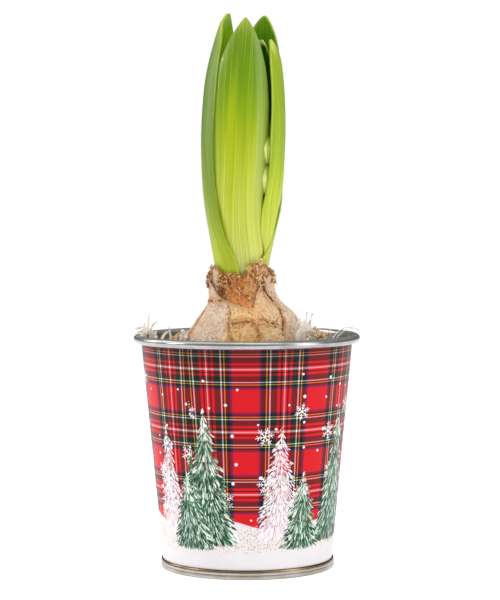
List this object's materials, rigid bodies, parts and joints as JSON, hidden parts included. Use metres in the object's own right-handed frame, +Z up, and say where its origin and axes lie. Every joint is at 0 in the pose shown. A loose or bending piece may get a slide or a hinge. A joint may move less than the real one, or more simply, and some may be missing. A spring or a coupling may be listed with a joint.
{
  "type": "potted hyacinth",
  "caption": "Hyacinth in bud growing from its half-buried bulb, in a tapered printed tin pot with a rolled rim, soil and wood wool.",
  "frame": {"origin": "centre of the pot's foot ring, on the surface it stands on", "axes": "+Z up along the pot's axis, -Y towards the front of the plant"},
  "size_m": [0.0998, 0.0998, 0.2438],
  "materials": {
    "pot_wall": "gloss print on tinplate, bare bright bead at the rim",
    "pot_base": "bright tinplate, lightly aged",
    "potting_soil": "moist crumbly peat",
    "root_tuft": "pale waxy roots",
    "bulb": "papery pinkish-beige skin",
    "tunic_inner": "crinkled orange-brown dry skin",
    "tunic_outer": "torn papery dry skin",
    "leaf_left": "waxy leaf, grey-green outside",
    "leaf_back": "waxy leaf",
    "leaf_front": "waxy leaf, yellow-green at the base",
    "leaf_right": "waxy leaf, light green",
    "leaf_inner": "waxy young leaf",
    "flower_spike": "pale closed buds",
    "straw_left": "wood wool",
    "straw_front": "wood wool",
    "straw_right": "wood wool",
    "straw_back": "wood wool"
  },
  "bodies": {
    "root": {"pot_wall": "pot_wall", "pot_base": "pot_base", "potting_soil": "potting_soil", "root_tuft": "root_tuft", "bulb": "bulb", "tunic_inner": "tunic_inner", "tunic_outer": "tunic_outer", "leaf_left": "leaf_left", "leaf_back": "leaf_back", "leaf_front": "leaf_front", "leaf_right": "leaf_right", "leaf_inner": "leaf_inner", "flower_spike": "flower_spike", "straw_left": "straw_left", "straw_front": "straw_front", "straw_right": "straw_right", "straw_back": "straw_back"}
  },
  "joints": []
}
